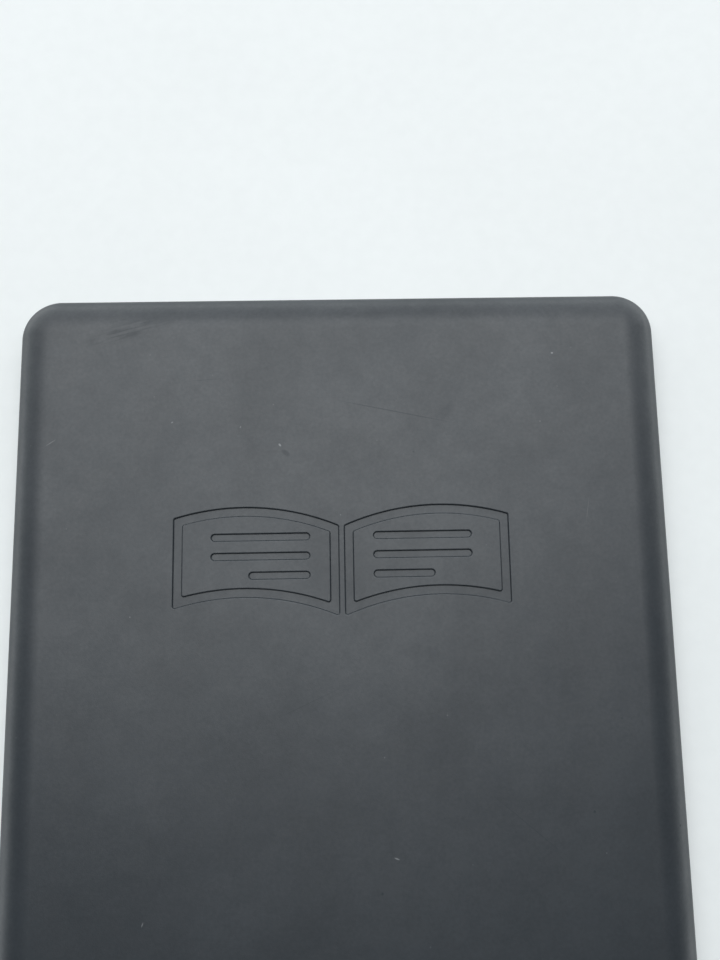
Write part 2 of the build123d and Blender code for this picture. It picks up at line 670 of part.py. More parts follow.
with BuildPart() as board_insulator:
    with BuildSketch(Plane.XY.offset(FRAME_TOP)):
        rectangle(-43.0, 43.0, -61.5, -33.5, corner=1.0)
    extrude(amount=0.1)
pieces["board_insulator"] = board_insulator

with BuildPart() as cover_foam_pads:
    with BuildSketch(Plane.XY.offset(SHIELD_TOP + SHEET)):
        with Locations((-10.0, -45.0), (10.0, -45.0)):
            RectangleRounded(12.0, 12.0, 1.0)
    extrude(amount=COVER_INSIDE - SHIELD_TOP - SHEET)
pieces["cover_foam_pads"] = cover_foam_pads

# ================= ribbon connectors =================

for name, (centre, width) in CONNECTORS.items():
    cheek = 1.2
    inner = around(centre, width / 2 + 0.15)
    outer = around(centre, width / 2 + 0.15 + cheek)
    roof_front = LATCH_PIVOT[0] + LATCH_HALF + 0.03
    with BuildPart() as socket:
        block(outer, (SOCKET_MOUTH, SOCKET_BACK), (BOARD_TOP, BOARD_TOP + SOCKET_HEIGHT))
        # mouth for the ribbon, and the open front above it for the latch
        slot_z = around(RIBBON_ENTRY, FLEX_THICK / 2 + 0.1)
        block(inner, (SOCKET_MOUTH, SOCKET_BACK - 1.4), slot_z, Mode.SUBTRACT)
        top = BOARD_TOP + SOCKET_HEIGHT
        block(inner, (SOCKET_MOUTH, roof_front), (slot_z[0], top), Mode.SUBTRACT)
        chamfer(socket.edges().filter_by(Axis.X).group_by(Axis.Y)[-1], 0.15)
    pieces[f"{name}_connector"] = socket
    with BuildPart() as latch:
        with BuildSketch(Plane.YZ.offset(inner[0] + 0.1)):
            with Locations(LATCH_PIVOT):
                Circle(LATCH_HALF)
                with Locations((-LATCH_LENGTH / 2, 0)):
                    Rectangle(LATCH_LENGTH, 2 * LATCH_HALF)
        extrude(amount=inner[1] - inner[0] - 0.2)
    pieces[f"{name}_latch"] = latch

# ================= charging socket =================


def socket_outline(width, height):
    """Cross-section of a micro-USB socket: two corners cut off on the narrow side."""
    with BuildSketch(Plane.XY, mode=Mode.PRIVATE) as outline:
        with BuildLine():
            Polyline(
                (-width / 2, height / 2),
                (width / 2, height / 2),
                (width / 2, -height / 2 + USB_BEVEL),
                (width / 2 - USB_BEVEL, -height / 2),
                (-width / 2 + USB_BEVEL, -height / 2),
                (-width / 2, -height / 2 + USB_BEVEL),
                close=True,
            )
        make_face()
        fillet(outline.vertices(), 0.25)
    return outline.sketch


shell_outline = socket_outline(USB_WIDTH, USB_HEIGHT)
mouth_outline = socket_outline(USB_WIDTH - 2 * USB_SHEET, USB_HEIGHT - 2 * USB_SHEET)
USB_END = USB_MOUTH + USB_LENGTH
TONGUE_BLOCK = 1.2

with BuildPart() as usb_shell:
    with BuildSketch(Plane.XZ.offset(-USB_MOUTH)):
        with Locations((0, PORT_Z)):
            add(shell_outline)
            add(mouth_outline, mode=Mode.SUBTRACT)
    extrude(amount=-USB_LENGTH)
    # solder tabs on the board
    for side in (-1, 1):
        for y in (-80.3, -78.5):
            x = aside(0, USB_WIDTH / 2 - 0.1, USB_WIDTH / 2 + 1.2, side)
            block(x, around(y, 0.5), (BOARD_TOP, BOARD_TOP + USB_SHEET))
pieces["usb_shell"] = usb_shell

with BuildPart() as usb_tongue:
    with BuildSketch(Plane.XZ.offset(-(USB_END - TONGUE_BLOCK))):
        with Locations((0, PORT_Z)):
            add(mouth_outline)
    extrude(amount=-TONGUE_BLOCK)
    block(around(0, 2.3), (USB_MOUTH + 0.6, USB_END - TONGUE_BLOCK), (PORT_Z, PORT_Z + 0.6))
pieces["usb_tongue"] = usb_tongue

with BuildPart() as usb_contacts:
    for index in range(5):
        x = around((index - 2) * 0.65, 0.15)
        block(x, (USB_MOUTH + 0.9, USB_END - TONGUE_BLOCK), (PORT_Z - 0.12, PORT_Z))
pieces["usb_contacts"] = usb_contacts

# ================= power button =================

with BuildPart() as power_button:
    with BuildSketch(Plane.XZ.offset(-BUTTON_FACE)):
        with Locations((BUTTON_X, PORT_Z)):
            SlotOverall(BUTTON_WIDTH, BUTTON_HEIGHT)
    extrude(amount=BUTTON_FACE - SHOULDER_Y)
    fillet(power_button.faces().sort_by(Axis.Y)[0].edges(), 0.25)
    with BuildSketch(Plane.XZ.offset(-SHOULDER_Y)):
        with Locations((BUTTON_X, PORT_Z)):
            RectangleRounded(SHOULDER_WIDTH, SHOULDER_HEIGHT, 0.8)
    extrude(amount=-SHOULDER_DEPTH)
    with BuildSketch(Plane.XZ.offset(-SHOULDER_Y - SHOULDER_DEPTH)):
        with Locations((BUTTON_X, PORT_Z)):
            Circle(NUB_RADIUS)
    extrude(amount=-(PLUNGER_FACE - 0.02 - SHOULDER_Y - SHOULDER_DEPTH))
pieces["power_button"] = power_button

SWITCH_BACK = SWITCH_FACE + SWITCH_DEPTH

with BuildPart() as switch_body:
    block(
        around(BUTTON_X, SWITCH_WIDTH / 2),
        (SWITCH_FACE, SWITCH_BACK),
        around(PORT_Z, SWITCH_HEIGHT / 2),
    )
    chamfer(switch_body.edges().filter_by(Axis.Y), 0.2)
    with BuildSketch(Plane.XZ.offset(-SWITCH_FACE)):
        with Locations((BUTTON_X, PORT_Z)):
            Rectangle(PLUNGER_WIDTH + 0.1, PLUNGER_HEIGHT + 0.1)
    plunger_end = PLUNGER_FACE + PLUNGER_LENGTH + BUTTON_TRAVEL + 0.05
    extrude(amount=SWITCH_FACE - plunger_end, mode=Mode.SUBTRACT)
    with BuildSketch(Plane.XZ.offset(-CHAMBER_FRONT)):
        with Locations((BUTTON_X, PORT_Z)):
            Circle(SNAP_DOME_RADIUS + 0.08)
    extrude(amount=-CHAMBER_DEPTH, mode=Mode.SUBTRACT)
    # solder tabs on the board
    for side in (-1, 1):
        x = aside(BUTTON_X, SWITCH_WIDTH / 2 - 0.1, SWITCH_WIDTH / 2 + 1.0, side)
        block(x, around(-78.3, 0.5), (BOARD_TOP, BOARD_TOP + SOLDER_SHEET))
pieces["switch_body"] = switch_body

with BuildPart() as switch_plunger:
    with BuildSketch(Plane.XZ.offset(-PLUNGER_FACE)):
        with Locations((BUTTON_X, PORT_Z)):
            Rectangle(PLUNGER_WIDTH, PLUNGER_HEIGHT)
    extrude(amount=-PLUNGER_LENGTH)
    chamfer(switch_plunger.faces().sort_by(Axis.Y)[0].edges(), 0.15)
pieces["switch_plunger"] = switch_plunger

with BuildPart() as switch_dome:
    # a thin snap dome: rim against the chamber's back, crown towards the plunger
    rim_y = CHAMBER_FRONT + CHAMBER_DEPTH
    crown_y = rim_y - SNAP_DOME_HEIGHT
    with BuildSketch(Plane.XY.offset(PORT_Z)):
        with BuildLine():
            crown = (BUTTON_X + SNAP_DOME_CROWN, crown_y)
            knee = (BUTTON_X + SNAP_DOME_RADIUS * 0.64, rim_y - SNAP_DOME_HEIGHT * 0.72)
            rim = (BUTTON_X + SNAP_DOME_RADIUS, rim_y)
            outside = ThreePointArc(crown, knee, rim)
            inner_knee = (knee[0] - SNAP_DOME_SHEET * 0.5, knee[1] + SNAP_DOME_SHEET)
            inner_rim = (rim[0] - SNAP_DOME_SHEET * 1.5, rim_y)
            inside = ThreePointArc((crown[0], crown_y + SNAP_DOME_SHEET), inner_knee, inner_rim)
            middle = Line((BUTTON_X, crown_y), (BUTTON_X, crown_y + SNAP_DOME_SHEET))
            Line(middle @ 0, outside @ 0)
            Line(middle @ 1, inside @ 0)
            Line(outside @ 1, inside @ 1)
        make_face()
    revolve(axis=Axis((BUTTON_X, 0, PORT_Z), (0, 1, 0)))
pieces["switch_dome"] = switch_dome

# ================= charge light =================

with BuildPart() as light_pipe:
    with BuildSketch(Plane.XZ.offset(LENGTH / 2)):
        with Locations((LIGHT_X, PORT_Z)):
            Circle(LIGHT_RADIUS)
    extrude(amount=-4.4)
    with BuildSketch(Plane.XZ.offset(LENGTH / 2 - 2.9)):
        with Locations((LIGHT_X, PORT_Z)):
            Rectangle(1.6, 1.2)
    extrude(amount=-0.6)
    add(outer_form, mode=Mode.INTERSECT)
pieces["light_pipe"] = light_pipe

with BuildPart() as status_led:
    block(around(LIGHT_X, 0.8), (-80.0, -79.0), around(PORT_Z, 0.5))
    block(around(LIGHT_X, 1.5), (-79.6, -79.1), (BOARD_TOP, BOARD_TOP + 0.12))
pieces["status_led"] = status_led

# ================= battery =================

with BuildPart() as battery_cell:
    with BuildSketch(Plane.XY.offset(CELL_Z)):
        rectangle(*CELL, corner=2.0)
    extrude(amount=CELL_HEIGHT)
    fillet(battery_cell.faces().sort_by(Axis.Z)[-1].edges(), 0.9)
    fillet(battery_cell.faces().sort_by(Axis.Z)[0].edges(), 0.9)
pieces["battery_cell"] = battery_cell

with BuildPart() as battery_tray:
    with BuildSketch(Plane.XY.offset(FRAME_TOP)):
        rectangle(*grown(TRAY, TRAY_WALL), corner=2.6)
        rectangle(*TRAY, corner=1.8, mode=Mode.SUBTRACT)
    extrude(amount=TRAY_HEIGHT)
    # ears with screw holes
    with BuildSketch(Plane.XY.offset(FRAME_TOP)):
        for x, y in BATTERY_POINTS:
            with Locations((x, y)):
                Circle(2.3)
            wall = (TRAY[1] + TRAY_WALL / 2) * (1 if x > 0 else -1)
            rectangle(min(x, wall), max(x, wall), y - 2.3, y + 2.3)
        with Locations(*BATTERY_POINTS):
            Circle(BOARD_SHANK + 0.1, mode=Mode.SUBTRACT)
    extrude(amount=EAR_TOP - FRAME_TOP)
    # shelf under the protection circuit, and the gap where the leads leave
    block((-31.0, -7.0), (TRAY[2] - 0.1, -18.2), (FRAME_TOP, FRAME_TOP + 1.0))
    gap_y = (TRAY[2] - TRAY_WALL - 0.1, TRAY[2] + 0.1)
    block(around(PLUG_X, 3.6), gap_y, (FRAME_TOP + 0.9, 7.0), Mode.SUBTRACT)
pieces["battery_tray"] = battery_tray

with BuildPart() as battery_circuit:
    block((-30.5, -8.0), (-21.2, -18.4), (EAR_TOP, EAR_TOP + 0.6))
    for x in (-18.0, -13.5):
        block(around(x, 1.4), around(-19.8, 0.9), (EAR_TOP + 0.6, EAR_TOP + 1.3))
pieces["battery_circuit"] = battery_circuit

with BuildPart() as battery_adhesive:
    with BuildSketch(Plane.XY.offset(FRAME_TOP)):
        with Locations((0, (CELL[2] + CELL[3]) / 2)):
            with GridLocations(0, 30, 1, 2):
                RectangleRounded(52, 18, 1.0)
    extrude(amount=CELL_Z - FRAME_TOP)
pieces["battery_adhesive"] = battery_adhesive

PLUG_END = -26.2
PLUG_Z = BOARD_TOP + 0.85

with BuildPart() as battery_socket:
    block(around(PLUG_X, 3.5), (-32.6, -27.6), (BOARD_TOP, BOARD_TOP + 1.6))
    block(around(PLUG_X, 2.9), (-31.6, -27.6), (BOARD_TOP + 0.25, BOARD_TOP + 1.6), Mode.SUBTRACT)
pieces["battery_socket"] = battery_socket

with BuildPart() as battery_plug:
    block(around(PLUG_X, 2.85), (-31.5, PLUG_END), (BOARD_TOP + 0.3, BOARD_TOP + 1.5))
    chamfer(battery_plug.edges().filter_by(Axis.Y), 0.15)
pieces["battery_plug"] = battery_plug

with BuildPart() as battery_leads:
    lead_low = EAR_TOP + 0.6 + LEAD_RADIUS
    lead_points = [(PLUG_END, PLUG_Z), (-24.6, PLUG_Z), (-23.0, lead_low), (-20.6, lead_low)]
    for index in range(3):
        x = PLUG_X + (index - 1) * LEAD_SPACING
        with BuildLine(Plane.YZ.offset(x)) as lead:
            FilletPolyline(*lead_points, radius=1.2)
        with BuildSketch(Plane(origin=lead.line @ 0, z_dir=lead.line % 0)):
            Circle(LEAD_RADIUS)
        sweep(path=lead.line)
pieces["battery_leads"] = battery_leads

# ================= radio antenna =================

with BuildPart() as wifi_antenna:
    with BuildSketch(Plane.XY.offset(FRAME_TOP)):
        rectangle(*ANTENNA, corner=1.0)
        # the slots that tune it
        with Locations((31.0, 63.5), (36.0, 66.5)):
            Rectangle(22.0, 1.2, mode=Mode.SUBTRACT)
    extrude(amount=ANTENNA_THICK)
pieces["wifi_antenna"] = wifi_antenna

with BuildPart() as antenna_plug:
    with BuildSketch(Plane.XY.offset(BOARD_TOP)):
        with Locations((CABLE_X, -38.0)):
            Circle(1.3)
    extrude(amount=0.9)
    block(around(CABLE_X, 0.7), (-38.0, -35.6), (BOARD_TOP + 0.2, BOARD_TOP + 1.2))
pieces["antenna_plug"] = antenna_plug

with BuildPart() as antenna_cable:
    plug_z = BOARD_TOP + 0.7
    cable_points = [
        (CABLE_X, -35.6, plug_z),
        (CABLE_X, -25.0, plug_z),
        (CABLE_X, -16.0, CABLE_Z),
        (CABLE_X, 48.0, CABLE_Z),
        (32.0, 55.0, CABLE_Z),
        (32.0, 61.4, CABLE_Z),
    ]
    with BuildLine() as cable:
        FilletPolyline(*cable_points, radius=3.5)
    with BuildSketch(Plane(origin=cable.line @ 0, z_dir=cable.line % 0)):
        Circle(CABLE_RADIUS)
    sweep(path=cable.line)
pieces["antenna_cable"] = antenna_cable

# ================= files =================

os.makedirs("parts", exist_ok=True)
for name, piece in pieces.items():
    piece.part.label = name
    export_step(piece.part, f"parts/{name}.step")
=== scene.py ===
import json
import math

import bmesh
import bpy
from mathutils import Matrix, Vector
from mathutils.geometry import delaunay_2d_cdt


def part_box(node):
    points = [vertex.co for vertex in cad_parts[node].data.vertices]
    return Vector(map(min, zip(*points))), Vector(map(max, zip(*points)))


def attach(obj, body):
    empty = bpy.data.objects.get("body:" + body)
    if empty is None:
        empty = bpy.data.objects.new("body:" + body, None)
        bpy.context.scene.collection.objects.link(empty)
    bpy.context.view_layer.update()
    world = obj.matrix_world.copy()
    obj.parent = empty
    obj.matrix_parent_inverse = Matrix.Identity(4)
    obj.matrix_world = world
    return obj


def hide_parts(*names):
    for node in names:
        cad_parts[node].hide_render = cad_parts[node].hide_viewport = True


# The e-reader lies on its screen on a pale table, seen from above its back.
# Shapes are worked out in millimetres in the part's own frame and built at MM scale.

MM = 0.001
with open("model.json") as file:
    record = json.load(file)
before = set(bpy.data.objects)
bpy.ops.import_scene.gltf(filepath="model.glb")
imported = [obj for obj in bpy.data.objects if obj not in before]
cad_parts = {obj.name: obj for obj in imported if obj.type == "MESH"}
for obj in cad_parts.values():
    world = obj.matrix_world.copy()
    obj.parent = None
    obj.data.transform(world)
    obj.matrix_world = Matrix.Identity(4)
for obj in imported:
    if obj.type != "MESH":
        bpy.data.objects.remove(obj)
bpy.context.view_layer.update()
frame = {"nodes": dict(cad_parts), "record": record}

# ---- sizes shared with the CAD part ----
cover_low, cover_high = (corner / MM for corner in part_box("rear_cover"))
HALF_WIDTH = cover_high.x
HALF_LENGTH = cover_high.y
COVER_FLOOR = cover_low.z
COVER_TOP = cover_high.z
BEZEL_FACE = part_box("front_bezel")[0].z / MM
CORNER = 7.4
COVER_WALL = 1.3
LOW_ARC = 4.0
HIGH_ARC = 8.0
ARC_TURN = math.radians(36.87)
EDGE_RUN = LOW_ARC + (HIGH_ARC - LOW_ARC) * math.cos(ARC_TURN)
SPRING_Z = COVER_TOP - HIGH_ARC + (HIGH_ARC - LOW_ARC) * math.sin(ARC_TURN)
CORNER_STEPS = 20
WELD = 0.002
LEVEL_SLACK = 0.0005
SHARP = math.radians(40)
SEAM_ROUND = 0.14
PORT_Z = 5.1
PORT_LIP = 0.13
BUTTON_X = -21.0
BUTTON_HALF = (4.1, 1.2)
SOCKET_HALF = (4.0, 1.5)
SOCKET_CORNER = 0.9
LIGHT_X = 10.0
LIGHT_RADIUS = 0.63
GRID_REACH = 50  # points each way along the bottom wall, a millimetre apart
GRID_SHIFT = 0.01
GRID_CLEARANCE = (0.25, 0.12)  # kept free beside an opening, along the wall and up it
BOSS_POINTS = [(x * 51.5, y * 77.5) for x in (-1, 1) for y in (-1, 1)]
BOSS_POINTS += [(x * 52.6, y * 26.0) for x in (-1, 1) for y in (-1, 1)]
BOSS_POINTS += [(0.0, 78.5), (17.0, -79.0)]
BOSS_PROFILE = [(2.1, 7.9), (2.1, 4.25), (2.0, 4.15), (0.95, 4.15), (0.85, 4.25), (0.85, 7.05), (0.01, 7.2)]
BOSS_SIDES = 32
BEZEL_RIM = BEZEL_FACE + 2.2
BEZEL_PLATE = BEZEL_FACE + 1.2
BEZEL_ROUND = 1.0
BEZEL_LIP = [(1.4, 0.0), (1.4, 0.85), (1.55, 1.0), (2.25, 1.0), (2.4, 0.85)]  # inset and height over the rim
WINDOW_HALF = (46.0, 61.75)
WINDOW_Y = 5.25
WINDOW_CORNER = 1.0
WINDOW_EDGE = [(0.86, 0.0), (0.8, 0.02), (0.76, 0.05), (0.05, 0.76), (0.015, 0.8), (0.0, 0.86), (0.0, 1.2)]
HOOK_HALF = (0.25, 4.0)
HOOK_STEPS = [(0.1, 2.6), (0.0, 2.7), (0.0, 2.9), (0.1, 3.0)]
HOOK_INSET = 1.4
HOOK_CORNER = 0.05
HOOKS_LENGTHWISE = (-52.0, 0.0, 52.0)
HOOKS_CROSSWISE = (-36.0, 32.0)

# ---- the emblem: an open book with bars on its pages ----
EMBLEM_Y = 35.7
EMBLEM_DEPTH = 0.4
STROKE = 1.5
PAGE_NEAR = (0.5, 6.1)
PAGE_CROWN = (12.18, 9.2)
PAGE_FAR = (29.0, 7.7)
PAGE_HEIGHT = 15.4
BAR_LEFT = 5.51
BAR_HALF = 0.6
BARS = [(4.3, 17.0), (1.0, 17.0), (-2.3, 10.5)]  # height on the page and length


# ================= mesh building =================


class Shell:
    """A closed mesh that grows from loops of points, given in millimetres."""

    def __init__(self):
        self.mesh = bmesh.new()

    def loop(self, points):
        return [self.mesh.verts.new(Vector(point) * MM) for point in points]

    def bridge(self, first, second, skip=()):
        """Quads between two loops with the same number of points, apart from the skipped gaps."""
        count = len(first)
        for i in range(count):
            if i not in skip:
                j = (i + 1) % count
                self.mesh.faces.new((first[i], first[j], second[j], second[i]))

    def chain(self, loops, skip=()):
        for first, second in zip(loops, loops[1:]):
            self.bridge(first, second, skip)

    def fill(self, rings, flat_rings, extra=(), lift=None):
        """Triangles inside the rings, even-odd; extra are flat points inside, put in place by lift."""
        vertices = [vertex for ring in rings for vertex in ring]
        flat = [Vector(point) for ring in flat_rings for point in ring]
        edges = []
        start = 0
        for ring in rings:
            count = len(ring)
            edges += [(start + i, start + (i + 1) % count) for i in range(count)]
            start += count
        flat += [Vector(point) for point in extra]
        places, _, faces, origins, _, _ = delaunay_2d_cdt(flat, edges, [], 0, 1e-7)
        made = {}
        for face in faces:
            middle = sum((places[i] for i in face), Vector((0, 0))) / 3
            if not is_inside(middle, flat_rings):
                continue
            corners = []
            for i in face:
                if i not in made:
                    origin = origins[i][0]
                    made[i] = vertices[origin] if origin < start else self.loop([lift(places[i])])[0]
                corners.append(made[i])
            self.mesh.faces.new(corners)

    def finish(self, name, body, material, level, facing):
        """Closes the mesh into a piece; level lists the heights of flats that face exactly up or down."""
        bmesh.ops.remove_doubles(self.mesh, verts=self.mesh.verts, dist=WELD * MM)
        bmesh.ops.recalc_face_normals(self.mesh, faces=self.mesh.faces)
        for face in self.mesh.faces:
            face.smooth = True
        for edge in self.mesh.edges:
            edge.smooth = edge.calc_face_angle(0) < SHARP
        data = bpy.data.meshes.new(name)
        self.mesh.to_mesh(data)
        self.mesh.free()
        piece = bpy.data.objects.new(name, data)
        bpy.context.scene.collection.objects.link(piece)
        data.materials.append(material)
        upright, automatic = (0.0, 0.0, facing), (0.0, 0.0, 0.0)
        flat = [any(abs(vertex.co.z / MM - z) < LEVEL_SLACK for z in level) for vertex in data.vertices]
        data.normals_split_custom_set_from_vertices([upright if here else automatic for here in flat])
        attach(piece, body)
        return piece


def flat_of(loop):
    """A loop's points in millimetres, without their height."""
    return [(vertex.co.x / MM, vertex.co.y / MM) for vertex in loop]


def is_inside(point, rings):
    """Even-odd test of a flat point against closed rings."""
    inside = False
    for ring in rings:
        last = ring[-1]
        for now in ring:
            if (now[1] > point[1]) != (last[1] > point[1]):
                cross = now[0] + (point[1] - now[1]) * (last[0] - now[0]) / (last[1] - now[1])
                if point[0] < cross:
                    inside = not inside
            last = now
    return inside


def rounded_rectangle(half_x, half_y, radius, centre=(0.0, 0.0), steps=CORNER_STEPS):
    """Points anticlockwise, starting at the right end of the bottom side."""
    points = []
    for turn, (side_x, side_y) in zip((-90, 0, 90, 180), ((1, -1), (1, 1), (-1, 1), (-1, -1))):
        middle = (centre[0] + side_x * (half_x - radius), centre[1] + side_y * (half_y - radius))
        for step in range(steps + 1):
            angle = math.radians(turn + 90 * step / steps)
            points.append((middle[0] + radius * math.cos(angle), middle[1] + radius * math.sin(angle)))
    return points


def casing_ring(inset, z):
    """A loop round the casing, a distance in from its widest outline."""
    flat = rounded_rectangle(HALF_WIDTH - inset, HALF_LENGTH - inset, CORNER - inset)
    return [(x, y, z) for x, y in flat]


def circle_through(first, middle, last):
    """Centre and radius of the circle through three points."""
    (ax, ay), (bx, by), (cx, cy) = first, middle, last
    d = 2 * (ax * (by - cy) + bx * (cy - ay) + cx * (ay - by))
    a2, b2, c2 = ax * ax + ay * ay, bx * bx + by * by, cx * cx + cy * cy
    x = (a2 * (by - cy) + b2 * (cy - ay) + c2 * (ay - by)) / d
    y = (a2 * (cx - bx) + b2 * (ax - cx) + c2 * (bx - ax)) / d
    return x, y, math.hypot(ax - x, ay - y)


def crown(round_of, start_x, end_x, steps=24):
    """Points along the upper side of a circle, given as (x, y, radius), between two places in x."""
    x, y, radius = round_of
    start, end = (math.acos((place - x) / radius) for place in (start_x, end_x))
    angles = [start + (end - start) * i / steps for i in range(steps + 1)]
    return [(x + radius * math.cos(a), y + radius * math.sin(a)) for a in angles]


def shifted(ring, distance):
    """An anticlockwise ring moved outwards, with mitred corners."""
    moved = []
    count = len(ring)
    for i, point in enumerate(ring):
        back = (Vector(point) - Vector(ring[i - 1])).normalized()
        ahead = (Vector(ring[(i + 1) % count]) - Vector(point)).normalized()
        normal = Vector((back.y + ahead.y, -back.x - ahead.x)).normalized()
        reach = distance / max(0.3, normal.dot(Vector((ahead.y, -ahead.x))))
        moved.append((point[0] + normal.x * reach, point[1] + normal.y * reach))
    return moved


def softened(ring, radius, steps=6, least_turn=25):
    """An anticlockwise ring whose real corners, all convex, are rounded."""
    made = []
    count = len(ring)
    for i, point in enumerate(ring):
        here = Vector(point)
        back = (Vector(ring[i - 1]) - here).normalized()
        ahead = (Vector(ring[(i + 1) % count]) - here).normalized()
        turn = math.pi - back.angle(ahead)
        if math.degrees(turn) < least_turn:
            made.append(point)
            continue
        reach = radius * math.tan(turn / 2)
        middle = here + (back + ahead).normalized() * (radius / math.cos(turn / 2))
        spoke = here + back * reach - middle
        start = math.atan2(spoke.y, spoke.x)
        for step in range(steps + 1):
            angle = start + turn * step / steps
            made.append((middle.x + radius * math.cos(angle), middle.y + radius * math.sin(angle)))
    return made


def capsule(left, right, y, half, steps=8):
    """A bar with round ends, anticlockwise."""
    points = []
    for x, turn in ((right - half, -90), (left + half, 90)):
        for step in range(steps + 1):
            angle = math.radians(turn + 180 * step / steps)
            points.append((x + half * math.cos(angle), y + half * math.sin(angle)))
    return points


def circle(centre, radius, sides):
    angles = [math.tau * step / sides for step in range(sides)]
    return [(centre[0] + radius * math.cos(a), centre[1] + radius * math.sin(a)) for a in angles]


# ================= rear cover =================


def edge_stations(offset, floor):
    """The cover's edge profile as (inset, height), from its floor up to the flat back."""
    stations = [(offset, floor), (offset, SPRING_Z)]
    for step in range(1, 7):
        angle = ARC_TURN * step / 6
        reach = LOW_ARC - offset
        stations.append((LOW_ARC - reach * math.cos(angle), SPRING_Z + reach * math.sin(angle)))
    for step in range(1, 13):
        angle = ARC_TURN + (math.pi / 2 - ARC_TURN) * step / 12
        reach = HIGH_ARC - offset
        z = COVER_TOP - HIGH_ARC + reach * math.sin(angle)
        stations.append((EDGE_RUN - reach * math.cos(angle), z))
    return stations


def along(stations):
    """The length along the profile at each station."""
    lengths = [0.0]
    for first, second in zip(stations, stations[1:]):
        lengths.append(lengths[-1] + math.dist(first, second))
    return lengths


def at_height(stations, lengths, z):
    """(inset, length along the profile) where the profile has a height."""
    for (low, high), (start, end) in zip(zip(stations, stations[1:]), zip(lengths, lengths[1:])):
        if z <= high[1] or high is stations[-1]:
            share = (z - low[1]) / (high[1] - low[1])
            return low[0] + share * (high[0] - low[0]), start + share * (end - start)


def at_length(stations, lengths, length):
    """(inset, height) at a length along the profile."""
    for (low, high), (start, end) in zip(zip(stations, stations[1:]), zip(lengths, lengths[1:])):
        if length <= end or high is stations[-1]:
            share = (length - start) / (end - start)
            return low[0] + share * (high[0] - low[0]), low[1] + share * (high[1] - low[1])


def port_rings():
    """Outlines of the openings in the bottom edge, as (x, z), anticlockwise."""
    usb = rounded_rectangle(*SOCKET_HALF, SOCKET_CORNER, (0.0, PORT_Z), 8)
    button = capsule(BUTTON_X - BUTTON_HALF[0], BUTTON_X + BUTTON_HALF[0], PORT_Z, BUTTON_HALF[1], 12)
    return [usb, button, circle((LIGHT_X, PORT_Z), LIGHT_RADIUS, 24)]


def wall_patch(shell, stations, ports, first, last):
    """The straight part of the bottom edge between two stations, with openings in it."""
    lengths = along(stations)
    span = HALF_WIDTH - CORNER

    def lift(point):
        inset, z = at_length(stations, lengths, point[1])
        return (point[0], -HALF_LENGTH + inset, z)

    left = [(-span, lengths[i]) for i in range(first, last + 1)]
    right = [(span, lengths[i]) for i in range(first, last + 1)]
    border = [left[0]] + right + left[:0:-1]
    holes = [[(x, at_height(stations, lengths, z)[1]) for x, z in ring] for ring in ports]
    beside, above = GRID_CLEARANCE
    grid = []
    for row in lengths[first + 1:last]:
        for step in range(-GRID_REACH, GRID_REACH + 1):
            place = step + GRID_SHIFT
            near = any(
                min(x for x, _ in hole) - beside < place < max(x for x, _ in hole) + beside
                and min(s for _, s in hole) - above < row < max(s for _, s in hole) + above
                for hole in holes
            )
            if not near:
                grid.append((place, row))
    rings = [shell.loop([lift(point) for point in ring]) for ring in [border] + holes]
    shell.fill(rings, [border] + holes, grid, lift)
    return rings[1:]


def page_rings():
    """The right-hand page of the emblem: its outline, the outline's inner edge and its bars."""
    x, y, radius = circle_through(PAGE_NEAR, PAGE_CROWN, PAGE_FAR)

    def outline(inset):
        left, right = PAGE_NEAR[0] + inset, PAGE_FAR[0] - inset
        bottom = crown((x, y - PAGE_HEIGHT, radius + inset), left, right)
        return bottom + crown((x, y, radius - inset), right, left)

    outer, inner = outline(0.0), outline(STROKE)
    bars = [capsule(BAR_LEFT, BAR_LEFT + length, height, BAR_HALF) for height, length in BARS]
    return softened(outer, STROKE / 4), softened(inner, STROKE / 4), bars


# the recess's edge from the back down to its floor: offset outwards and depth
LIP = [
    (0.19, 0.0), (0.13, 0.012), (0.08, 0.038), (0.036, 0.08), (0.009, 0.135), (0.0, 0.19),
    (0.0, 0.25), (-0.009, 0.29), (-0.04, 0.34), (-0.08, 0.375), (-0.13, EMBLEM_DEPTH),
]


def emblem(shell):
    """The pressed-in page outlines and bars. Returns the rings that the flat back has to leave open."""
    outer, inner, bars = page_rings()
    open_rings = []
    for side in (1, -1):
        def placed(ring):
            points = [(side * x, EMBLEM_Y + y) for x, y in ring]
            return points if side == 1 else points[::-1]

        def lip(ring, away):
            """Steps down from the back into the recess; away is 1 if the land lies outside the ring."""
            loops = []
            for offset, drop in LIP:
                flat = shifted(placed(ring), away * offset)
                loops.append((flat, shell.loop([(x, y, COVER_TOP - drop) for x, y in flat])))
            shell.chain([loop for _, loop in loops])
            return loops[0], loops[-1]

        outer_top, outer_foot = lip(outer, 1)
        inner_top, inner_foot = lip(inner, -1)
        shell.fill([outer_foot[1], inner_foot[1]], [outer_foot[0], inner_foot[0]])
        bar_ends = [lip(bar, 1) for bar in bars]
        for _, foot in bar_ends:
            shell.fill([foot[1]], [foot[0]])
        land = [inner_top] + [top for top, _ in bar_ends]
        shell.fill([loop for _, loop in land], [flat for flat, _ in land])
        open_rings.append(outer_top)
    return open_rings


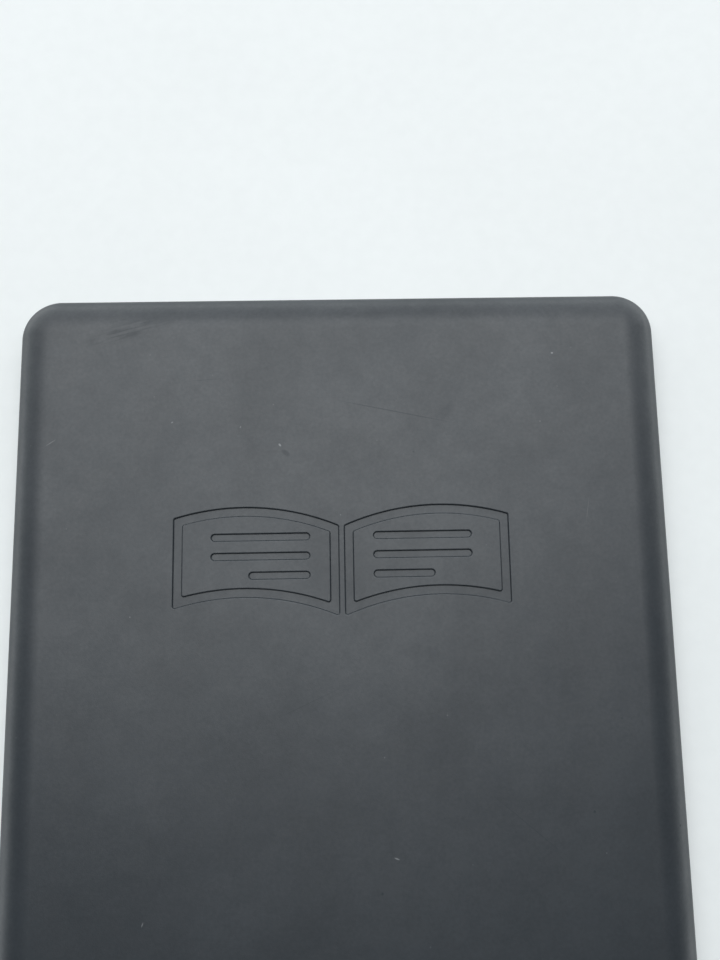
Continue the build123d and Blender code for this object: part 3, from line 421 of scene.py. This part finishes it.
def rear_cover(material):
    shell = Shell()
    outside = edge_stations(0.0, COVER_FLOOR + SEAM_ROUND)
    inside = edge_stations(COVER_WALL, COVER_FLOOR)
    bottom_side = (4 * (CORNER_STEPS + 1) - 1,)
    patch_top = 12
    # outside, from the seam up
    turns = [math.radians(a) for a in (0, 30, 60)]
    seam = [(SEAM_ROUND * (1 - math.sin(a)), COVER_FLOOR + SEAM_ROUND * (1 - math.cos(a))) for a in turns]
    foot = [shell.loop(casing_ring(*station)) for station in seam + outside[:1]]
    shell.chain(foot)
    wall = [foot[-1]] + [shell.loop(casing_ring(*station)) for station in outside[1:]]
    shell.chain(wall[:patch_top + 1], bottom_side)
    shell.chain(wall[patch_top:])
    # inside
    inner = [shell.loop(casing_ring(*station)) for station in inside]
    shell.chain(inner[:patch_top + 1], bottom_side)
    shell.chain(inner[patch_top:])
    shell.bridge(foot[0], inner[0])
    shell.fill([inner[-1]], [flat_of(inner[-1])])
    # the flat back, with the emblem
    openings = emblem(shell)
    flat_rings = [flat_of(wall[-1])] + [flat for flat, _ in openings]
    shell.fill([wall[-1]] + [loop for _, loop in openings], flat_rings)
    # the openings of the bottom edge, with rounded lips
    ports = port_rings()
    outer_rings = wall_patch(shell, outside, [shifted(ring, PORT_LIP) for ring in ports], 0, patch_top)
    inner_rings = wall_patch(shell, inside, ports, 0, patch_top)
    lengths = along(outside)
    for ring, start, end in zip(ports, outer_rings, inner_rings):
        loops = [start]
        for a in (22.5, 45, 67.5, 90):
            angle = math.radians(a)
            flat = shifted(ring, PORT_LIP * (1 - math.sin(angle)))
            points = []
            for x, z in flat:
                inset = at_height(outside, lengths, z)[0] + PORT_LIP * (1 - math.cos(angle))
                points.append((x, -HALF_LENGTH + inset, z))
            loops.append(shell.loop(points))
        shell.chain(loops + [end])
    # screw bosses
    for x, y in BOSS_POINTS:
        rings = []
        for reach, z in BOSS_PROFILE:
            rings.append(shell.loop([(px, py, z) for px, py in circle((x, y), reach, BOSS_SIDES)]))
        shell.chain(rings)
        shell.mesh.faces.new(rings[0])
        shell.mesh.faces.new(rings[-1])
    piece = shell.finish("back_cover_skin", "housing", material, (COVER_TOP, COVER_TOP - EMBLEM_DEPTH), 1.0)
    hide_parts("rear_cover")
    return piece


# ================= front bezel =================


def front_bezel(material):
    shell = Shell()
    profile = []
    for step in range(9):
        angle = math.radians(90 * step / 8)
        profile.append((BEZEL_ROUND * (1 - math.sin(angle)), BEZEL_ROUND * (1 - math.cos(angle))))
    for a in (0, 30, 60, 90):
        angle = math.radians(a)
        profile.append((SEAM_ROUND * (1 - math.cos(angle)), BEZEL_RIM - SEAM_ROUND * (1 - math.sin(angle))))
    profile += [(inset, BEZEL_RIM + height) for inset, height in BEZEL_LIP]
    profile.append((BEZEL_LIP[-1][0], BEZEL_PLATE))
    loops = [shell.loop(casing_ring(inset, z)) for inset, z in profile]
    shell.chain(loops)
    window = []
    for margin, z in WINDOW_EDGE:
        half_x, half_y = (half + margin for half in WINDOW_HALF)
        flat = rounded_rectangle(half_x, half_y, WINDOW_CORNER + margin, (0, WINDOW_Y))
        window.append(shell.loop([(x, y, z) for x, y in flat]))
    shell.chain(window)
    for outer, hole in ((loops[0], window[0]), (loops[-1], window[-1])):
        shell.fill([outer, hole], [flat_of(outer), flat_of(hole)])
    # snap hooks
    thin, long = HOOK_HALF
    hooks = [(x * (HALF_WIDTH - HOOK_INSET), y, thin, long) for x in (-1, 1) for y in HOOKS_LENGTHWISE]
    hooks += [(x, y * (HALF_LENGTH - HOOK_INSET), long, thin) for y in (-1, 1) for x in HOOKS_CROSSWISE]
    for x, y, half_x, half_y in hooks:
        rings = []
        for shrink, z in HOOK_STEPS:
            flat = rounded_rectangle(half_x - shrink, half_y - shrink, HOOK_CORNER, (x, y), 2)
            rings.append(shell.loop([(px, py, z) for px, py in flat]))
        shell.chain(rings)
        shell.mesh.faces.new(rings[0])
        shell.mesh.faces.new(rings[-1])
    piece = shell.finish("bezel_skin", "housing", material, (BEZEL_FACE,), -1.0)
    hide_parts("front_bezel")
    return piece


# ================= materials =================

RANGE_SOCKETS = ("From Min", "From Max", "To Min", "To Max")


class Finish:
    """A procedural material. Lengths are millimetres in the part's frame."""

    def __init__(self, name, colour, rough, metal=0.0, **sockets):
        self.material = bpy.data.materials.new(name)
        self.material.use_nodes = True
        self.tree = self.material.node_tree
        self.shader = self.tree.nodes["Principled BSDF"]
        self.shader.inputs["Metallic"].default_value = metal
        for socket, value in sockets.items():
            self.shader.inputs[socket.replace("_", " ")].default_value = value
        coordinates = self.tree.nodes.new("ShaderNodeTexCoord")
        self.space = self.mapped(coordinates.outputs["Object"], (1 / MM,) * 3)
        self.colour = self.constant_colour(colour)
        self.rough = self.constant(rough)
        self.coat = None
        self.normal = None

    def node(self, kind, **settings):
        made = self.tree.nodes.new("ShaderNode" + kind)
        for key, value in settings.items():
            setattr(made, key, value)
        return made

    def put(self, socket, value):
        """Links an output to a socket, or sets the socket's own value."""
        if isinstance(value, bpy.types.NodeSocket):
            self.tree.links.new(value, socket)
        else:
            socket.default_value = value

    def mapped(self, source, scale):
        mapping = self.node("Mapping")
        self.put(mapping.inputs["Vector"], source)
        self.put(mapping.inputs["Scale"], scale)
        return mapping.outputs["Vector"]

    def local(self, place, size, turn):
        """Coordinates that are 1 at a size from a place, along axes turned by degrees about z."""
        mapping = self.node("Mapping", vector_type="TEXTURE")
        self.put(mapping.inputs["Vector"], self.space)
        self.put(mapping.inputs["Location"], place)
        self.put(mapping.inputs["Rotation"], (0, 0, math.radians(turn)))
        self.put(mapping.inputs["Scale"], size)
        return mapping.outputs["Vector"]

    def constant(self, value):
        made = self.node("Value")
        made.outputs[0].default_value = value
        return made.outputs[0]

    def constant_colour(self, colour):
        made = self.node("RGB")
        made.outputs[0].default_value = (*colour, 1)
        return made.outputs[0]

    def math(self, operation, a, b=0.0, clamp=False):
        made = self.node("Math", operation=operation, use_clamp=clamp)
        self.put(made.inputs[0], a)
        self.put(made.inputs[1], b)
        return made.outputs[0]

    def ranged(self, value, low, high, out_low=0.0, out_high=1.0, smooth=False):
        made = self.node("MapRange", interpolation_type="SMOOTHSTEP" if smooth else "LINEAR")
        for socket, number in zip(RANGE_SOCKETS, (low, high, out_low, out_high)):
            self.put(made.inputs[socket], number)
        self.put(made.inputs["Value"], value)
        return made.outputs["Result"]

    def noise(self, size, detail=2.0, stretch=None):
        """Noise with features of a size in millimetres; stretch scales the space first."""
        made = self.node("TexNoise")
        self.put(made.inputs["Vector"], self.mapped(self.space, stretch) if stretch else self.space)
        self.put(made.inputs["Scale"], 1 / size)
        self.put(made.inputs["Detail"], detail)
        return made.outputs["Fac"]

    def mottle(self, size, amount, detail=3.0):
        """Makes the colour lighter and darker in patches."""
        scale = self.ranged(self.noise(size, detail), 0.35, 0.65, 1 - amount, 1 + amount)
        mix = self.node("VectorMath", operation="SCALE")
        self.put(mix.inputs[0], self.colour)
        self.put(mix.inputs["Scale"], scale)
        self.colour = mix.outputs[0]
        return self

    def dull(self, mask, amount):
        """Takes some of the coat away where a mask says."""
        share = self.math("SUBTRACT", 1.0, self.math("MULTIPLY", mask, amount))
        self.coat = self.math("MULTIPLY", self.coat, share)
        return self

    def cloud(self, size, amount, detail=3.0):
        """Makes the coat weaker and stronger in patches."""
        share = self.ranged(self.noise(size, detail), 0.3, 0.7, 1 - amount, 1 + amount)
        self.coat = self.math("MULTIPLY", self.coat, share)
        return self

    def specks(self, cell, radius, share):
        """Soft dots: about one in a cell of a size in millimetres, and the share of cells that have one."""
        cells = self.node("TexVoronoi", feature="F1")
        self.put(cells.inputs["Vector"], self.space)
        self.put(cells.inputs["Scale"], 1 / cell)
        near = self.ranged(cells.outputs["Distance"], radius * 0.4 / cell, radius / cell, 1.0, 0.0)
        random_colour = self.node("SeparateColor")
        self.put(random_colour.inputs["Color"], cells.outputs["Color"])
        chosen = self.ranged(random_colour.outputs["Red"], 1 - share, 1.0, 0.0, 1.0)
        return self.math("MULTIPLY", near, chosen)

    def tint(self, mask, colour):
        """Mixes a colour in where a mask says."""
        mix = self.node("Mix", data_type="RGBA")
        self.put(mix.inputs["Factor"], mask)
        self.put(mix.inputs[6], self.colour)
        self.put(mix.inputs[7], (*colour, 1))
        self.colour = mix.outputs[2]
        return self

    def wear(self, size, amount):
        """Makes the roughness vary in patches."""
        change = self.ranged(self.noise(size, 4.0), 0.3, 0.7, -amount, amount)
        self.rough = self.math("ADD", self.rough, change)
        return self

    def bump(self, height, distance):
        """Adds a height field; distance is its depth in millimetres."""
        made = self.node("Bump")
        self.put(made.inputs["Height"], height)
        self.put(made.inputs["Distance"], distance * MM)
        if self.normal:
            self.put(made.inputs["Normal"], self.normal)
        self.normal = made.outputs["Normal"]
        return self

    def grain(self, size, depth, detail=2.0, stretch=None):
        return self.bump(self.noise(size, detail, stretch), depth)

    def done(self):
        self.put(self.shader.inputs["Base Color"], self.colour)
        self.put(self.shader.inputs["Roughness"], self.math("ADD", self.rough, 0.0, True))
        self.put(self.shader.inputs["Normal"], self.normal)
        if self.coat:
            self.put(self.shader.inputs["Coat Weight"], self.math("ADD", self.coat, 0.0, True))
            self.put(self.shader.inputs["Coat Normal"], self.normal)
        return self.material


def moulded(name, colour, rough=0.5, size=0.35, depth=0.012, mottle=0.05):
    """Injection-moulded plastic: fine spark-eroded grain and slight flow marks."""
    finish = Finish(name, colour, rough)
    finish.mottle(6.0, mottle).mottle(0.8, mottle * 0.6).wear(3.0, 0.08)
    return finish.grain(size, depth).done()


def metal(name, colour, rough=0.35, depth=0.004):
    """Rolled or brushed sheet with fine lines and a few stains."""
    finish = Finish(name, colour, rough, metal=1.0)
    finish.mottle(2.5, 0.08).wear(1.2, 0.12)
    finish.grain(0.6, depth, 3.0, (0.15, 6.0, 1.0))
    return finish.grain(0.25, depth * 0.6).done()


def soft_touch(name, colour, rough=0.42, gloss=0.38, coat=0.79):
    """Rubbery paint: very fine grain and a broad gloss, half of it from a coat with faint clouds."""
    finish = Finish(name, colour, rough, Specular_IOR_Level=gloss, Coat_Roughness=rough)
    finish.coat = finish.constant(coat)
    finish.mottle(14.0, 0.06, 2.0).mottle(0.55, 0.06, 2.0)
    finish.cloud(34.0, 0.1, 1.0).cloud(13.0, 0.11, 2.0).cloud(2.6, 0.12, 4.0).cloud(0.6, 0.12, 2.0)
    finish.wear(9.0, 0.03)
    return finish.grain(0.22, 0.010, 2.0).grain(0.9, 0.005, 3.0)


def spot(finish, place, size, turn=0.0, edge=0.5):
    """A soft round or long mask on the back: 1 in the middle and 0 outside."""
    distance = finish.node("VectorMath", operation="LENGTH")
    finish.put(distance.inputs[0], finish.local((*place, COVER_TOP), (*size, 3.0), turn))
    return finish.ranged(distance.outputs["Value"], edge, 1.0, 1.0, 0.0, True)


# painted shade along the rounded sides: below these heights the coat is taken away so the sides look darker
PAINTED_EDGE_SHADE = (6.2, 7.6)  # height where the sides have no coat, and where it is whole
# marks on the back: place, half length and half width, turn in degrees, strength
GREASY_TOUCHES = [
    ((19.0, 62.0), (2.6, 1.5), 60, 0.41), ((23.6, 29.1), (2.0, 1.4), 20, 0.33),
    ((36.0, 14.0), (7.0, 4.0), 140, 0.25),
    ((-20.0, 6.0), (9.0, 4.0), 40, 0.18), ((8.0, -30.0), (12.0, 6.0), 10, 0.18),
    ((-41.0, 20.0), (7.0, 4.2), 75, 0.16), ((14.0, 20.0), (5.0, 3.0), 160, 0.2),
    ((-14.0, 62.0), (10.0, 3.5), 12, 0.14), ((28.0, 66.0), (8.0, 5.0), 30, 0.12),
]
DARK_SCRATCHES = [
    ((9.8, 61.8), (12.5, 0.11), -12, 0.57), ((-9.6, 54.7), (1.1, 0.55), -35, 0.45),
    ((-6.0, 12.0), (7.0, 0.09), 24, 0.33),
    ((30.0, -8.0), (9.0, 0.08), -40, 0.33), ((-30.0, -45.0), (11.0, 0.09), 8, 0.41),
    ((12.0, -62.0), (6.0, 0.09), 55, 0.41), ((-24.0, 68.0), (4.0, 0.08), 4, 0.29),
]
DUST = (0.3, 0.31, 0.32)
PALE_SCRATCHES = [
    ((-50.6, 57.1), (1.4, 0.12), 33, 0.22), ((43.0, 44.0), (3.0, 0.07), 80, 0.12),
    ((-35.0, -66.0), (2.0, 0.08), -50, 0.14),
]
LINT = [
    ((-10.6, 56.1), (0.42, 0.24), -50, 0.55), ((38.2, 72.1), (0.3, 0.22), 0, 0.5),
    ((8.3, -12.9), (0.62, 0.16), -20, 0.5), ((-29.5, 60.4), (0.3, 0.2), 30, 0.3),
    ((-17.5, 59.4), (0.3, 0.14), 70, 0.3), ((-33.0, -22.0), (0.5, 0.12), 70, 0.45),
    ((26.0, -50.0), (0.26, 0.2), 0, 0.5),
]


def cover_finish():
    finish = soft_touch("soft_touch_cover", (0.0202, 0.0262, 0.0325))
    # painted shade: the coat is taken off the rounded sides so that they look darker, standing in for the
    # shade that falls there
    height = finish.node("SeparateXYZ")
    finish.put(height.inputs[0], finish.space)
    finish.dull(finish.ranged(height.outputs["Z"], *PAINTED_EDGE_SHADE, 1.0, 0.0, True), 0.95)
    # a dry rub near the top left corner, broken up along its own direction
    rub = spot(finish, (-37.6, 77.2), (10.4, 2.2), 15, 0.3)
    streaks = finish.node("TexNoise")
    finish.put(streaks.inputs["Vector"], finish.local((0, 0, 0), (4.6, 0.5, 1.0), 15))
    finish.put(streaks.inputs["Scale"], 1.0)
    finish.put(streaks.inputs["Distortion"], 0.4)
    finish.dull(finish.math("MULTIPLY", rub, finish.ranged(streaks.outputs["Fac"], 0.4, 0.66)), 0.55)
    for place, size, turn, strength in GREASY_TOUCHES:
        ragged = finish.ranged(finish.noise(1.1, 5.0), 0.34, 0.62)
        finish.dull(finish.math("MULTIPLY", spot(finish, place, size, turn, 0.05), ragged), strength)
    for place, size, turn, strength in DARK_SCRATCHES:
        finish.dull(spot(finish, place, size, turn, 0.5), strength)
    for place, size, turn, strength in PALE_SCRATCHES:
        finish.tint(finish.math("MULTIPLY", spot(finish, place, size, turn, 0.2), strength), DUST)
    # dust and lint
    finish.tint(finish.math("MULTIPLY", finish.specks(3.6, 0.18, 0.6), 0.24), DUST)
    finish.dull(finish.specks(7.0, 0.3, 0.6), 0.92)
    for place, size, turn, strength in LINT:
        finish.tint(finish.math("MULTIPLY", spot(finish, place, size, turn, 0.3), strength), DUST)
    return finish.done()


def screen_finish():
    """Matte electronic paper under an anti-glare sheet."""
    finish = Finish("electronic_paper_screen", (0.42, 0.425, 0.40), 0.42)
    finish.mottle(0.18, 0.03, 2.0).mottle(12.0, 0.012).wear(8.0, 0.04)
    return finish.grain(0.12, 0.003).done()


def board_finish():
    """Green solder mask over copper traces, with tinned pads."""
    finish = Finish("circuit_board", (0.012, 0.085, 0.04), 0.32)
    bricks = finish.node("TexBrick", offset=0.5)
    finish.put(bricks.inputs["Vector"], finish.local((0, 0, 0), (1, 1, 1), 45))
    finish.put(bricks.inputs["Scale"], 0.9)
    finish.put(bricks.inputs["Mortar Size"], 0.06)
    traces = finish.ranged(bricks.outputs["Fac"], 0.2, 0.8)
    finish.tint(finish.math("MULTIPLY", traces, 0.6), (0.03, 0.16, 0.075))
    holes = finish.node("TexVoronoi", feature="F1")
    finish.put(holes.inputs["Vector"], finish.space)
    finish.put(holes.inputs["Scale"], 1 / 3.2)
    dots = finish.ranged(holes.outputs["Distance"], 0.07, 0.1, 1.0, 0.0)
    finish.tint(dots, (0.55, 0.5, 0.36))
    finish.mottle(4.0, 0.06).wear(3.0, 0.06)
    finish.bump(traces, 0.02)
    return finish.done()


def creased(name, colour, rough, size, depth):
    """Foil, film or tape with shallow creases."""
    finish = Finish(name, colour, rough)
    finish.mottle(4.0, 0.05).wear(2.0, 0.08).grain(size, depth, 4.0)
    return finish.grain(size / 6, depth / 5).done()


def clear(name, colour, rough, transmission):
    finish = Finish(name, colour, rough, Transmission_Weight=transmission, IOR=1.49)
    return finish.mottle(3.0, 0.02).wear(1.5, 0.05).grain(0.3, 0.002).done()


def pouch_finish():
    """Laminated battery foil: metallic, softly creased at its edges."""
    finish = Finish("battery_pouch", (0.55, 0.56, 0.57), 0.34, metal=0.85)
    finish.mottle(9.0, 0.05).wear(4.0, 0.1).grain(5.0, 0.06, 3.0).grain(0.5, 0.004)
    return finish.done()


MATERIALS = {
    "soft_touch_cover": cover_finish(),
    "bezel_plastic": soft_touch("bezel_soft_touch", (0.020, 0.0205, 0.022), 0.46).done(),
    "button_plastic": moulded("button_plastic", (0.024, 0.026, 0.028), 0.46, 0.25, 0.006),
    "adhesive": creased("black_tape", (0.02, 0.02, 0.02), 0.6, 1.0, 0.01),
    "foam": creased("closed_cell_foam", (0.022, 0.022, 0.024), 0.9, 0.4, 0.06),
    "touch_glass": screen_finish(),
    "light_guide": clear("light_guide_acrylic", (0.85, 0.9, 0.9), 0.08, 0.9),
    "electronic_paper": moulded("paper_film", (0.55, 0.56, 0.53), 0.6, 0.15, 0.004, 0.02),
    "display_glass": clear("display_glass", (0.35, 0.4, 0.37), 0.05, 0.6),
    "silicon": moulded("bare_silicon", (0.03, 0.03, 0.04), 0.12, 0.3, 0.001),
    "polyimide": creased("amber_polyimide", (0.42, 0.18, 0.035), 0.35, 0.9, 0.006),
    "led_package": moulded("led_package", (0.72, 0.68, 0.4), 0.4, 0.3, 0.004),
    "frame_metal": metal("cast_magnesium", (0.42, 0.43, 0.44), 0.5, 0.012),
    "screw_steel": metal("black_screw_steel", (0.13, 0.13, 0.14), 0.36),
    "circuit_board": board_finish(),
    "chip_epoxy": moulded("chip_epoxy", (0.022, 0.022, 0.026), 0.5, 0.12, 0.008),
    "ceramic_parts": moulded("capacitor_ceramic", (0.32, 0.23, 0.14), 0.45, 0.2, 0.006),
    "ferrite": moulded("ferrite", (0.07, 0.07, 0.075), 0.6, 0.18, 0.02),
    "tinned_sheet": metal("tinned_sheet", (0.6, 0.6, 0.57), 0.28),
    "insulating_film": creased("polyester_film", (0.02, 0.02, 0.022), 0.3, 2.0, 0.02),
    "connector_plastic": moulded("ivory_nylon", (0.62, 0.58, 0.48), 0.42, 0.3, 0.006),
    "black_plastic": moulded("black_nylon", (0.016, 0.016, 0.017), 0.42, 0.3, 0.008),
    "gold_contacts": metal("gold_flash", (0.83, 0.55, 0.17), 0.25),
    "spring_steel": metal("spring_steel", (0.62, 0.61, 0.58), 0.22),
    "clear_acrylic": clear("frosted_acrylic", (0.78, 0.8, 0.78), 0.35, 0.55),
    "battery_foil": pouch_finish(),
    "lead_insulation": moulded("red_lead", (0.32, 0.012, 0.012), 0.45, 0.4, 0.006),
    "copper_foil": metal("etched_copper", (0.72, 0.34, 0.16), 0.35),
    "cable_jacket": moulded("cable_jacket", (0.014, 0.014, 0.015), 0.5, 0.3, 0.01),
}

for row in frame["record"]["subparts"]:
    node = frame["nodes"][row["node"]]
    node.data.materials.clear()
    node.data.materials.append(MATERIALS[row["material_slot"]])

rear_cover(MATERIALS["soft_touch_cover"])
front_bezel(MATERIALS["bezel_plastic"])


# ================= table, light and camera =================


def floor_finish():
    finish = Finish("pale_table", (0.885, 0.91, 0.905), 0.6)
    return finish.mottle(60.0, 0.01).mottle(3.0, 0.008).wear(25.0, 0.04).grain(0.8, 0.01).done()


FLOOR_RADIUS = 2000.0
FLOOR_SIDES = 96
floor = Shell()
floor.mesh.faces.new(floor.loop([(x, y, 0) for x, y in circle((0, 0), FLOOR_RADIUS, FLOOR_SIDES)]))
floor_data = bpy.data.meshes.new("table_top")
floor.mesh.to_mesh(floor_data)
floor.mesh.free()
table_top = bpy.data.objects.new("table_top", floor_data)
bpy.context.scene.collection.objects.link(table_top)
floor_data.materials.append(floor_finish())

# a wide soft panel overhead that faces straight down
panel = bpy.data.lights.new("window", "AREA")
panel.shape = "ELLIPSE"
panel.size, panel.size_y = 1.64, 1.4
panel.energy = 9.4
panel.color = (0.965, 0.99, 1.0)
window = bpy.data.objects.new("window", panel)
bpy.context.scene.collection.objects.link(window)
window.location = (-0.1, 0.42, 1.0)
window.rotation_euler = (0, 0, math.radians(10))

world = bpy.data.worlds.new("room")
bpy.context.scene.world = world
world.use_nodes = True
sky = world.node_tree.nodes
wires = world.node_tree.links
sky["Background"].inputs["Color"].default_value = (0.93, 0.97, 1.0, 1)
direction = sky.new("ShaderNodeSeparateXYZ")
wires.new(sky.new("ShaderNodeTexCoord").outputs["Generated"], direction.inputs[0])


def room_light(axis, *bounds):
    """Brightness that changes smoothly along an axis, given as where it starts and ends and its values."""
    ramp = sky.new("ShaderNodeMapRange")
    ramp.interpolation_type = "SMOOTHSTEP"
    for socket, number in zip(RANGE_SOCKETS, bounds):
        ramp.inputs[socket].default_value = number
    wires.new(direction.outputs[axis], ramp.inputs["Value"])
    return ramp.outputs["Result"]


# a bright room on the far side, a dark one behind the viewer, pale walls low down all round
brighter = sky.new("ShaderNodeMath")
brighter.operation = "MAXIMUM"
wires.new(room_light("Y", -0.25, 0.6, 0.1, 1.0), brighter.inputs[0])
wires.new(room_light("Z", 0.05, 0.36, 0.4, 0.0), brighter.inputs[1])
wires.new(brighter.outputs[0], sky["Background"].inputs["Strength"])

camera = bpy.data.objects.new("camera", bpy.data.cameras.new("camera"))
bpy.context.scene.collection.objects.link(camera)
camera.data.sensor_width = 36
camera.data.sensor_fit = "AUTO"
camera.data.lens = 27.04
camera.data.clip_start = 0.001
camera.data.clip_end = 10
right = Vector((0.9998, -0.018, 0.0128))
up = Vector((0.0162, 0.9914, 0.1301))
back = Vector((-0.0151, -0.1299, 0.9914))
turned = Matrix((right, up, back)).transposed().to_quaternion()
camera.rotation_euler = turned.to_euler()
camera.location = Vector((1.46, 33.31, 133.94)) * MM
bpy.context.scene.camera = camera
bpy.context.scene.view_settings.view_transform = "Standard"
